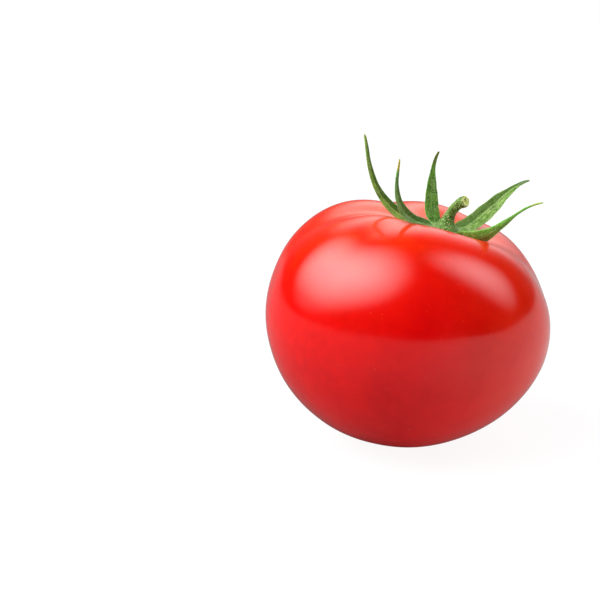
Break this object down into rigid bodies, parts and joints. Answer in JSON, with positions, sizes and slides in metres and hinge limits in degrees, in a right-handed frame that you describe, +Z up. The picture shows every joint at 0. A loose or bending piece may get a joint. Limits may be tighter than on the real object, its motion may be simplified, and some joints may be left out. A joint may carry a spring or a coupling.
{
  "type": "tomato",
  "caption": "Ripe red tomato, lobed round its hollow, with green sepals and a short broken stalk, resting on a small flat spot.",
  "frame": {"origin": "middle of the small flat spot that the fruit rests on", "axes": "+Z up as the fruit rests; the core leans from the flat spot towards +X, and -Y faces the viewer"},
  "size_m": [0.0723, 0.0729, 0.0814],
  "materials": {
    "skin": "gloss",
    "stalk": "matte",
    "sepal": "matte"
  },
  "bodies": {
    "root": {"fruit": "skin", "stalk": "stalk", "sepal_1": "sepal", "sepal_2": "sepal", "sepal_3": "sepal", "sepal_4": "sepal", "sepal_5": "sepal"}
  },
  "joints": []
}
